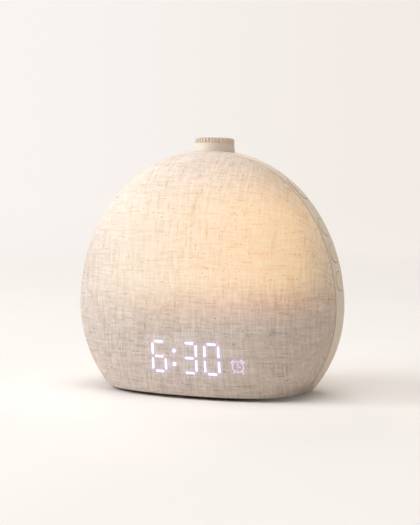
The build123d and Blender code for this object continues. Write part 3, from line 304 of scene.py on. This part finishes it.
def linen_mesh():
    """The linen as one sheet with its edge turned in, and its area in square metres."""
    corner = math.asin((WAIST - SOLE) / DOWN)
    crown = np.linspace(-corner, math.pi + corner, CROWN_COLUMNS)
    shares = np.linspace(0, 1, COLUMN_POINTS)
    columns = []
    for phi in np.concatenate([crown, sole_turns()]):
        points, at_sole = column(phi, shares**EDGE_CROWDING)
        radius, depth = SOLE_FOLD if at_sole else SEAM_FOLD
        fold = turned_edge(points, at_sole, radius, depth)
        body = points[np.linalg.norm(points - points[0], axis=1) > radius + FOLD_CLEARANCE]
        columns.append(np.array(fold + list(picked(body, shares**BODY_CROWDING))))

    # Every column's last point is the middle of the front, so they share one vertex there
    grid = np.array(columns)[:, :-1]
    many, deep = grid.shape[:2]
    middle = many * deep
    vertices = [tuple(v) for v in grid.reshape(-1, 3) * MM] + [(0, -FRONT * MM, WAIST * MM)]
    faces = []
    for i in range(many):
        here, beside = i * deep, (i + 1) % many * deep
        for k in range(deep - 1):
            faces.append((here + k, beside + k, beside + k + 1, here + k + 1))
        faces.append((here + deep - 1, beside + deep - 1, middle))
    mesh = bpy.data.meshes.new("linen_front")
    mesh.from_pydata(vertices, [], faces)

    weft, warp = (np.append(place.reshape(-1), 0.0) for place in cloth_place(grid))
    index = np.zeros(len(mesh.loops), np.int32)
    mesh.loops.foreach_get("vertex_index", index)
    uv = np.stack([weft[index], warp[index]], -1) / CLOTH_UNIT
    mesh.uv_layers.new(name="cloth").data.foreach_set("uv", uv.astype(np.float32).ravel())
    mesh.shade_smooth()
    mesh.update()
    piece = bpy.data.objects.new("linen_front", mesh)
    bpy.context.scene.collection.objects.link(piece)
    return piece, sum(face.area for face in mesh.polygons)


# ---------------------------------------------------------------- the display's shapes
# In millimetres across and up. A digit has seven bars: side, level, and whether it is upright
DIGIT_LEVEL, DIGIT_HALF, DIGIT_SIDE = 27.6, 9.7, 4.75
BAR_WIDTH, UPRIGHT_BAR, LEVEL_BAR = 1.25, 2.95, 2.35
SEGMENTS = {
    "a": (0, 1, False),
    "g": (0, 0, False),
    "d": (0, -1, False),
    "f": (-1, 0.5, True),
    "b": (1, 0.5, True),
    "e": (-1, -0.5, True),
    "c": (1, -0.5, True),
}
DIGITS = ((-11.1, "acdefg"), (10.9, "abcdg"), (26.4, "abcdef"))
COLON_LEVELS, COLON_RADIUS = (23.1, 31.9), 1.15

# The alarm sign: its face, its two hands, and a bell and a foot on each side. Lines are given
# from the face's middle: start, end and width
SIGN_MIDDLE, SIGN_RADIUS, SIGN_WIDTH = (43.5, 23.5), 3.5, 0.4
SIGN_HANDS = (((0.0, 0.0), (0.0, 2.1), 0.35), ((0.0, 0.0), (1.6, -0.3), 0.35))
SIGN_PAIRS = (((2.0, 4.5), (4.2, 2.6), 0.6), ((2.3, -3.1), (3.2, -4.3), 0.45))


def bar(t, place, centre, half_length, upright, width):
    """Distance in millimetres from a lit bar with round ends, less its half width."""
    reach = (0.0, half_length, 0.0) if upright else (half_length, 0.0, 0.0)
    folded = t.vector("ABSOLUTE", t.vector("SUBTRACT", place, (*centre, 0.0)))
    beyond = t.vector("MAXIMUM", t.vector("SUBTRACT", folded, reach), (0.0, 0.0, 0.0))
    return t.math("SUBTRACT", t.vector("LENGTH", beyond), width / 2)


def slanted_bar(t, place, start, end, width):
    """The same for a bar between two points."""
    dx, dz = end[0] - start[0], end[1] - start[1]
    size = math.hypot(dx, dz)
    shifted = t.vector("SUBTRACT", place, (*start, 0.0))
    along = t.vector("DOT_PRODUCT", shifted, (dx / size**2, dz / size**2, 0.0))
    share = t.math("MAXIMUM", t.math("MINIMUM", along, 1.0), 0.0)
    near = t.scaled((dx, dz, 0.0), share)
    return t.math("SUBTRACT", t.vector("DISTANCE", shifted, near), width / 2)


def ring(t, place, centre, radius, width):
    away = t.vector("DISTANCE", place, (*centre, 0.0))
    return t.math("SUBTRACT", t.math("ABSOLUTE", t.math("SUBTRACT", away, radius)), width / 2)


def disc(t, place, centre, radius):
    return t.math("SUBTRACT", t.vector("DISTANCE", place, (*centre, 0.0)), radius)


def nearest(t, distances):
    found = distances[0]
    for other in distances[1:]:
        found = t.math("MINIMUM", found, other)
    return found


def lit_shapes(t, place):
    """Distances from the lit digits and from the alarm sign."""
    digits = []
    for centre, lit in DIGITS:
        for name in lit:
            side, level, upright = SEGMENTS[name]
            where = (centre + side * DIGIT_SIDE, DIGIT_LEVEL + level * DIGIT_HALF)
            half_length = UPRIGHT_BAR if upright else LEVEL_BAR
            digits.append(bar(t, place, where, half_length, upright, BAR_WIDTH))
    digits += [disc(t, place, (0.0, level), COLON_RADIUS) for level in COLON_LEVELS]

    x, z = SIGN_MIDDLE
    sign = [ring(t, place, SIGN_MIDDLE, SIGN_RADIUS, SIGN_WIDTH)]
    lines = [(1, line) for line in SIGN_HANDS]
    lines += [(side, line) for side in (-1, 1) for line in SIGN_PAIRS]
    for side, (start, end, width) in lines:
        first = (x + side * start[0], z + start[1])
        last = (x + side * end[0], z + end[1])
        sign.append(slanted_bar(t, place, first, last, width))
    return nearest(t, digits), nearest(t, sign)


# ---------------------------------------------------------------- the linen's material
# Lengths are in millimetres, and noise scales are per millimetre. A pair of numbers in a ramp
# goes from none of a thing to all of it.
# Threads: pitch, length in which a thread's tone changes, and seed
UP_YARN, LEVEL_YARN = (0.9, 14.0, 11.0), (0.85, 11.0, 53.0)
UP_BROAD, LEVEL_BROAD = (1.8, 30.0, 101.0), (1.7, 26.0, 151.0)
BROAD_SHARE = 0.5
YARN_ROUGHNESS = 0.6
# How far the noise of neighbouring threads lies apart
LANE_STEP = 3.7
WANDER_SCALE, WEFT_WANDER, WARP_WANDER = 0.012, 1.4, -1.0

# Slubs: pitch, seed, and the levels of noise from which there is a dash, and a dot
UP_SLUBS, LEVEL_SLUBS = (1.0, 211.0, 0.64, 0.725), (0.95, 331.0, 0.625, 0.72)
DASH_LENGTH, DASH_SLICE, DASH_EDGE = 15.0, 3.0, 0.08
DOT_LENGTH, DOT_SLICE, DOT_EDGE = 1.5, 9.0, 0.06
# A dash is uneven. Dots come where a dash nearly does, so much below its level
DASH_CHANGE, DASH_BASE = 0.9, -0.05
DOT_BELOW, DOT_FULL_BELOW = 0.14, 0.06
SLUB_MIDDLE = (0.5, 0.28)

# Tone: from the threads, less the grooves between them, with large soft patches
TONE_RANGE = (1.05, 1.95)
GROOVE, LEVEL_GROOVE_SHARE, GROOVE_TONE = (0.2, 0.5), 0.6, -0.14
PATCH_SCALE, PATCH_SLICE, PATCH_CHANGE, PATCH_BASE = 0.03, 5.0, 0.14, 0.035
PALE, DEEP, BROWN = srgb(227, 211, 199), srgb(181, 164, 148), srgb(120, 82, 50)
BROWN_SHARE = 0.6
SHEEN = srgb(245, 235, 225)

# Height: the weave over and under, and the threads. The bump's distance is in metres
WEAVE_PITCH, WEAVE_SHARE, THREAD_SHARE = 0.9, 0.35, 0.5
WEAVE_STRENGTH, WEAVE_HEIGHT = 0.55, 0.00018

# What the cloth lets through: a little less where its threads are pale, and redder light
# through a slub
THIN_CHANGE, THIN_BASE = -0.2, 1.1
SLUB_TINT = (1.25, 0.96, 0.55)

# The sunrise, as light that leaves the cloth: its left, its right, and its low orange edge
GLOW_LEFT, GLOW_RIGHT, GLOW_LOW = (0.275, 0.23, 0.155), (0.40, 0.235, 0.062), (0.34, 0.115, 0.0)
GLOW_ACROSS = (-55.0, 60.0)
ORANGE_RISE, ORANGE_ACROSS = (0.95, 0.3), (-50.0, 30.0)
# Its lower edge, which lies a little higher on the right; its top; its sides; and the front's
# rim, as the square of the way there
GLOW_TILT, GLOW_LIFT, GLOW_EDGE = -0.05, 1.5, (42.0, 84.0)
GLOW_TOP, GLOW_TOP_SHARES = (170.0, 115.0), (0.15, 1.0)
GLOW_LEFT_SIDE, GLOW_RIGHT_SIDE = (-95.0, -35.0), (106.0, 70.0)
GLOW_RIM = (1.25, 0.85)
# Its clouds, with their noise scale per metre
GLOW_CLOUD_SCALE, GLOW_CLOUD_CHANGE, GLOW_CLOUD_BASE = 18.0, 0.12, 0.96

# The display's light: the digits, the sign, and the haze round both, with how fast that fades
# per millimetre. It shows only on the front, so from these depths on
DIGIT_LIGHT, DIGIT_STRENGTH, DIGIT_CORE = (1.0, 0.96, 1.18), 0.9, (0.35, -0.3)
SIGN_LIGHT, SIGN_CORE = (0.37, 0.36, 0.70), (0.3, -0.2)
HAZE_LIGHT, SIGN_HAZE = (0.10, 0.10, 0.30), 0.45
DIGIT_FADE, SIGN_FADE = 0.75, 1.1
DISPLAY_DEPTH = (-20.0, -30.0)


def thread_rows(t, across, pitch, seed):
    """Threads side by side: how far from a thread's middle, and its own place in the noise."""
    place = t.math("DIVIDE", across, pitch)
    row = t.math("FLOOR", place)
    middle = t.math("ABSOLUTE", t.math("SUBTRACT", t.math("SUBTRACT", place, row), 0.5))
    return middle, t.math("MULTIPLY_ADD", row, LANE_STEP, seed)


def yarn(t, along, across, pitch, length, seed):
    """Threads side by side: how far from a thread's middle, and its own tone along its length."""
    middle, lane = thread_rows(t, across, pitch, seed)
    place = t.combine(t.math("DIVIDE", along, length), lane)
    return middle, t.noise(place, 1.0, roughness=YARN_ROUGHNESS)


def slubs(t, along, across, pitch, seed, dashes, dots):
    """Dark dashes and dots that sit in rows on single threads."""
    middle, lane = thread_rows(t, across, pitch, seed)
    dash_place = t.combine(t.math("DIVIDE", along, DASH_LENGTH), lane, DASH_SLICE)
    dot_place = t.combine(t.math("DIVIDE", along, DOT_LENGTH), lane, DOT_SLICE)
    stretch = t.noise(dash_place, 1.0, detail=1.0)
    knots = t.noise(dot_place, 1.0, detail=0.0)
    uneven = t.math("MULTIPLY_ADD", knots, DASH_CHANGE, DASH_BASE)
    dash = t.math("MULTIPLY", t.ramp(stretch, dashes, dashes + DASH_EDGE), uneven)
    near_dash = t.ramp(stretch, dashes - DOT_BELOW, dashes - DOT_FULL_BELOW)
    speck = t.math("MULTIPLY", t.ramp(knots, dots, dots + DOT_EDGE), near_dash)
    return t.math("MULTIPLY", t.math("MAXIMUM", dash, speck), t.ramp(middle, *SLUB_MIDDLE))


def sunrise_light(t, place, x, z):
    """A broad warm light behind the cloth, shut off below by the shelf: colour and strength."""
    level = t.math("ADD", t.math("MULTIPLY_ADD", x, GLOW_TILT, GLOW_LIFT), z)
    rise_in = t.ramp(level, *GLOW_EDGE)
    top_out = t.ramp(z, *GLOW_TOP, *GLOW_TOP_SHARES)
    sides = t.math("MULTIPLY", t.ramp(x, *GLOW_LEFT_SIDE), t.ramp(x, *GLOW_RIGHT_SIDE))
    cloud = t.noise(place, GLOW_CLOUD_SCALE, detail=1.0)
    cloud = t.math("MULTIPLY_ADD", cloud, GLOW_CLOUD_CHANGE, GLOW_CLOUD_BASE)
    across = t.math("DIVIDE", x, HALF)
    above = t.math("DIVIDE", t.math("SUBTRACT", z, WAIST), UP)
    rim = t.math("ADD", t.math("MULTIPLY", across, across), t.math("MULTIPLY", above, above))
    sides = t.math("MULTIPLY", sides, t.ramp(rim, *GLOW_RIM))
    rise = t.math("MULTIPLY", rise_in, top_out)
    strength = t.math("MULTIPLY", rise, t.math("MULTIPLY", sides, cloud))

    colour = t.mix(t.ramp(x, *GLOW_ACROSS), GLOW_LEFT, GLOW_RIGHT)
    low = t.math("MULTIPLY", t.ramp(rise_in, *ORANGE_RISE), t.ramp(x, *ORANGE_ACROSS))
    return t.mix(low, colour, GLOW_LOW), strength


def haze(t, distance, fade):
    """Light that fades away from a lit shape."""
    return t.math("EXPONENT", t.math("MULTIPLY", t.math("MAXIMUM", distance, 0.0), -fade))


def display_light(t, x, z):
    """The lit digits and the alarm sign, each with a sharp core and a haze round it."""
    digits, sign = lit_shapes(t, t.combine(x, z))
    core = t.math("MULTIPLY", t.ramp(digits, *DIGIT_CORE), DIGIT_STRENGTH)
    lit = t.scaled(DIGIT_LIGHT, core)
    lit = t.vector("ADD", lit, t.scaled(SIGN_LIGHT, t.ramp(sign, *SIGN_CORE)))
    sign_haze = t.math("MULTIPLY", haze(t, sign, SIGN_FADE), SIGN_HAZE)
    around = t.math("ADD", haze(t, digits, DIGIT_FADE), sign_haze)
    return t.vector("ADD", lit, t.scaled(HAZE_LIGHT, around))


def linen_material():
    """Woven linen with dark slubs, and the light that comes through it."""
    material, t = new_material("linen")
    place = t.add("ShaderNodeTexCoord").outputs["Object"]
    x, y, z = t.separate(t.vector("MULTIPLY", place, (1 / MM, 1 / MM, 1 / MM)))
    uv = t.add("ShaderNodeUVMap", uv_map="cloth").outputs[0]
    weft, warp, _ = t.separate(t.vector("MULTIPLY", uv, (CLOTH_UNIT, CLOTH_UNIT, CLOTH_UNIT)))

    # The threads, which wander a little
    wander = t.noise(t.combine(weft, warp), WANDER_SCALE, detail=1.0)
    weft_moved = t.math("MULTIPLY_ADD", wander, WEFT_WANDER, weft)
    warp_moved = t.math("MULTIPLY_ADD", wander, WARP_WANDER, warp)
    up_middle, up_tone = yarn(t, warp, weft_moved, *UP_YARN)
    level_middle, level_tone = yarn(t, weft, warp_moved, *LEVEL_YARN)
    _, up_broad = yarn(t, warp, weft_moved, *UP_BROAD)
    _, level_broad = yarn(t, weft, warp_moved, *LEVEL_BROAD)
    broad = t.math("MULTIPLY", t.math("ADD", up_broad, level_broad), BROAD_SHARE)
    threads = t.math("ADD", t.math("ADD", up_tone, level_tone), broad)
    level_groove = t.math("MULTIPLY", t.ramp(level_middle, *GROOVE), LEVEL_GROOVE_SHARE)
    grooves = t.math("ADD", t.ramp(up_middle, *GROOVE), level_groove)
    patch = t.noise(t.combine(weft, warp, PATCH_SLICE), PATCH_SCALE, detail=3.0)
    dark = t.math(
        "MAXIMUM",
        slubs(t, warp, weft_moved, *UP_SLUBS),
        slubs(t, weft, warp_moved, *LEVEL_SLUBS),
    )

    woven = t.ramp(threads, *TONE_RANGE, smooth=False)
    woven = t.math("MULTIPLY_ADD", grooves, GROOVE_TONE, woven)
    patch = t.math("MULTIPLY_ADD", patch, PATCH_CHANGE, PATCH_BASE)
    tone = t.math("ADD", woven, patch, clamp=True)
    colour = t.mix(tone, DEEP, PALE)
    colour = t.mix(t.math("MULTIPLY", dark, BROWN_SHARE), colour, BROWN)

    # The light that comes through
    thin = t.math("MULTIPLY_ADD", tone, THIN_CHANGE, THIN_BASE)
    through = t.scaled(t.mix(dark, (1.0, 1.0, 1.0), SLUB_TINT), thin)
    warm, strength = sunrise_light(t, place, x, z)
    sunrise = t.scaled(t.vector("MULTIPLY", warm, through), strength)
    front_only = t.ramp(y, *DISPLAY_DEPTH)
    display = t.scaled(t.vector("MULTIPLY", display_light(t, x, z), through), front_only)

    # The weave's height
    turn = math.pi / WEAVE_PITCH * 2
    over = t.math("SINE", t.math("MULTIPLY", weft_moved, turn))
    under = t.math("SINE", t.math("MULTIPLY", warp_moved, turn))
    weave = t.math("MULTIPLY", t.math("MULTIPLY", over, under), WEAVE_SHARE)
    knotted = t.math("ADD", t.math("MULTIPLY", threads, THREAD_SHARE), dark)
    height = t.math("ADD", weave, knotted)
    surface = t.shader(
        "ShaderNodeBsdfPrincipled",
        {
            "Base Color": colour,
            "Roughness": 0.92,
            "Specular IOR Level": 0.2,
            "Sheen Weight": 0.12,
            "Sheen Roughness": 0.5,
            "Sheen Tint": SHEEN,
            "Emission Color": t.vector("ADD", sunrise, display),
            "Emission Strength": 1.0,
            "Normal": t.bump(height, WEAVE_STRENGTH, WEAVE_HEIGHT),
        },
    )
    t.output(surface)
    return material


linen, linen_area = linen_mesh()
linen.data.materials.append(linen_material())
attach(linen, "clock")
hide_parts("fabric_cover")

# ---------------------------------------------------------------- materials of the CAD pieces
# After the colour: roughness, grain, and the spread of tone
finishes = {
    "diffuser": moulded("milky_diffuser", srgb(236, 232, 224), 0.45, 0.5),
    "shell": moulded("putty_shell", srgb(223, 207, 188), 0.55, 1.0, 0.03),
    "dark_plastic": moulded("dark_plastic", srgb(62, 58, 54), 0.6),
    "white_plastic": moulded("white_reflector", srgb(238, 238, 234), 0.3),
    "pad_rubber": moulded("pad_rubber", srgb(38, 29, 21), 0.85, 2.0, 0.12),
    "zinc_steel": moulded("zinc_steel", srgb(190, 192, 194), 0.35, 0.6, 0.08, metallic=1.0),
    "circuit_board": moulded("solder_mask", srgb(30, 92, 58), 0.35, 0.5, 0.15, coat=0.4),
    "led_white": moulded("led_phosphor", srgb(246, 226, 150), 0.4, 0.4),
    "light_guide": moulded("frosted_acrylic", srgb(226, 228, 236), 0.25, 0.3, 0.03),
    "chip_black": moulded("moulded_black", srgb(32, 32, 34), 0.55),
    "can_aluminium": moulded(
        "drawn_aluminium", srgb(198, 200, 204), 0.3, 0.5, 0.08, metallic=1.0, streaks=(1, 0.1, 1)
    ),
    "magnet": moulded("ferrite", srgb(58, 58, 62), 0.7, 1.5, 0.1),
    "cone_paper": moulded("pulp_cone", srgb(38, 38, 38), 0.9, 2.5, 0.2),
    "gasket_foam": moulded("gasket_foam", srgb(44, 44, 44), 0.95, 3.0, 0.2),
    "lead_sleeve": moulded("silicone_sleeve", srgb(120, 44, 40), 0.5, 0.4, 0.1),
    "ribbon_film": moulded(
        "polyester_film", srgb(232, 230, 222), 0.3, 0.3, 0.05, streaks=(1, 0.1, 0.1)
    ),
}
button_cap = moulded("putty_button", srgb(226, 208, 184), 0.5, 0.8, 0.03)
slot_of = {entry["node"]: entry["material_slot"] for entry in frame["record"]["subparts"]}
for name, piece in nodes.items():
    if name != "fabric_cover":
        piece.data.materials.clear()
        finish = button_cap if name.endswith("_button") else finishes[slot_of[name]]
        piece.data.materials.append(finish)

# ---------------------------------------------------------------- floor and backdrop
# In metres. Both are one pale paper, which darkens a little from the left of the view to its
# right. The floor shows the object's shadow, and goes over to the plain paper far away. To the
# right of the object it also goes partly over to the plain paper, as painted light that lifts
# the shadow there
FLOOR_HALF, FLOOR_CORNERS = 4.0, ((-1, -1), (1, -1), (1, 1), (-1, 1))
FLOOR_GRAIN_SCALE = 6.0
VIEW_TURN = math.radians(26.6)
VIEW_RIGHT = (math.cos(VIEW_TURN), math.sin(VIEW_TURN), 0.0)
PAPER_LEFT, PAPER_RIGHT = srgb(249, 244, 240), srgb(242, 235, 229)
FLOOR_DARK, FLOOR_PALE = srgb(230, 223, 216), srgb(234, 227, 220)
BOUNCE, AIR = srgb(236, 231, 224), srgb(250, 246, 242)
FLOOR_SPREAD, SKY_SPREAD = 0.75, 0.15
FADE_MIDDLE, FADE_START, FADE_END = (0.1, 0.0, 0.0), 0.5, 1.9
# To the right of the object the shadow is partly lifted by painted light, the plain paper's
# emission, more and more between two places
PAINTED_LIFT_START, PAINTED_LIFT_END, PAINTED_LIFT_SHARE = 0.03, 0.12, 0.42
AIR_STRENGTH = 0.05


def seen_rays(t):
    """1 for a ray that shows the paper itself: from the camera, mirrored, or through glass."""
    rays = t.add("ShaderNodeLightPath").outputs
    seen = t.math("MAXIMUM", rays["Is Camera Ray"], rays["Is Glossy Ray"])
    return t.math("MAXIMUM", seen, rays["Is Transmission Ray"])


def paper_colour(t, place, spread):
    across = t.vector("DOT_PRODUCT", place, VIEW_RIGHT)
    return t.mix(t.ramp(across, -spread, spread), PAPER_LEFT, PAPER_RIGHT)


def floor_material():
    material, t = new_material("floor")
    spot = t.add("ShaderNodeTexCoord").outputs["Object"]
    away = t.vector("LENGTH", t.vector("SUBTRACT", spot, FADE_MIDDLE))
    # Painted light: to the right of the object part of the plain paper's emission is mixed in and
    # lifts the shadow; far away the floor turns into the plain backdrop
    painted_lift = t.math("MULTIPLY", t.ramp(t.separate(spot)[0], PAINTED_LIFT_START, PAINTED_LIFT_END), PAINTED_LIFT_SHARE)
    backdrop_and_painted_lift_share = t.math("MAXIMUM", t.ramp(away, FADE_START, FADE_END), painted_lift)
    grain = t.noise(spot, FLOOR_GRAIN_SCALE)
    shadowed_colour = t.mix(grain, FLOOR_DARK, FLOOR_PALE)
    shadowed = t.shader("ShaderNodeBsdfDiffuse", {"Color": shadowed_colour})
    plain_colour = paper_colour(t, spot, FLOOR_SPREAD)
    plain = t.shader("ShaderNodeEmission", {"Color": plain_colour, "Strength": 1.0})
    bounce = t.shader("ShaderNodeBsdfDiffuse", {"Color": BOUNCE})
    t.output(t.mix_shader(seen_rays(t), bounce, t.mix_shader(backdrop_and_painted_lift_share, shadowed, plain)))
    return material


def studio_world():
    world = bpy.data.worlds.new("studio")
    world.use_nodes = True
    t = Tree(world)
    direction = t.add("ShaderNodeTexCoord").outputs["Generated"]
    colour = paper_colour(t, direction, SKY_SPREAD)
    paper = t.shader("ShaderNodeBackground", {"Color": colour, "Strength": 1.0})
    air = t.shader("ShaderNodeBackground", {"Color": AIR, "Strength": AIR_STRENGTH})
    t.output(t.mix_shader(seen_rays(t), air, paper), "ShaderNodeOutputWorld")
    return world


corners = [(x * FLOOR_HALF, y * FLOOR_HALF, 0) for x, y in FLOOR_CORNERS]
floor_mesh = bpy.data.meshes.new("floor")
floor_mesh.from_pydata(corners, [], [(0, 1, 2, 3)])
floor_mesh.materials.append(floor_material())
floor = bpy.data.objects.new("floor", floor_mesh)
bpy.context.scene.collection.objects.link(floor)
bpy.context.scene.world = studio_world()

# ---------------------------------------------------------------- light
# In metres and watts: name, place, target, size, power and colour
LAMPS = (
    ("key", (-3.4, -2.0, 2.5), (0, 0, 0.08), 2.0, 158.0, (0.81, 0.89, 1.0)),
    ("front", (-2.4, -3.4, 2.4), (0, 0, 0.08), 2.4, 46.0, (0.94, 0.96, 1.0)),
    ("top", (0.2, -0.3, 3.6), (0, 0, 0.08), 3.0, 96.0, (1.0, 0.985, 0.97)),
    ("rim", (-2.6, 2.6, 2.6), (0, 0, 0.08), 2.0, 45.0, (1.0, 0.97, 0.95)),
    ("fill", (3.4, -0.6, 0.5), (0, 0, 0.05), 1.0, 12.0, (1.0, 0.95, 0.9)),
)


def lamp(name, place, target, size, power, colour):
    data = bpy.data.lights.new(name, "AREA")
    data.shape = "DISK"
    data.size = size
    data.energy = power
    data.color = colour
    item = bpy.data.objects.new(name, data)
    item.location = place
    item.rotation_euler = (Vector(target) - Vector(place)).to_track_quat("-Z", "Y").to_euler()
    bpy.context.scene.collection.objects.link(item)


for settings in LAMPS:
    lamp(*settings)

# ---------------------------------------------------------------- camera
# As fitted to the photograph, in degrees and metres. The turn is about the object
CAMERA_TURN, CAMERA_DISTANCE, CAMERA_HEIGHT = 26.58, 1.018017, 0.150992
CAMERA_PAN, CAMERA_PITCH, CAMERA_ROLL = 0.028, -3.659, 0.294
# The focal length and the photograph's height, in pixels, and the sensor's, in millimetres
FOCAL_PIXELS, PHOTO_HEIGHT, SENSOR_HEIGHT = 1516.764, 525, 36.0


def camera_matrix():
    turn, pan = math.radians(CAMERA_TURN), math.radians(CAMERA_PAN)
    pitch, roll = math.radians(CAMERA_PITCH), math.radians(CAMERA_ROLL)
    heading = turn + pan
    level_ahead = Vector((-math.sin(heading), math.cos(heading), 0))
    level_right = Vector((math.cos(heading), math.sin(heading), 0))
    up = Vector((0, 0, 1))
    ahead = level_ahead * math.cos(pitch) + up * math.sin(pitch)
    over = up * math.cos(pitch) - level_ahead * math.sin(pitch)
    right = level_right * math.cos(roll) + over * math.sin(roll)
    over = over * math.cos(roll) - level_right * math.sin(roll)
    return Matrix(
        (
            (right.x, over.x, -ahead.x, math.sin(turn) * CAMERA_DISTANCE),
            (right.y, over.y, -ahead.y, -math.cos(turn) * CAMERA_DISTANCE),
            (right.z, over.z, -ahead.z, CAMERA_HEIGHT),
            (0, 0, 0, 1),
        )
    )


camera_data = bpy.data.cameras.new("camera")
camera_data.sensor_fit = "VERTICAL"
camera_data.sensor_height = SENSOR_HEIGHT
camera_data.lens = FOCAL_PIXELS / PHOTO_HEIGHT * SENSOR_HEIGHT
camera_data.clip_start = 0.01
camera = bpy.data.objects.new("camera", camera_data)
camera.matrix_world = camera_matrix()
bpy.context.scene.collection.objects.link(camera)
bpy.context.scene.camera = camera
bpy.context.scene.view_settings.view_transform = "Standard"
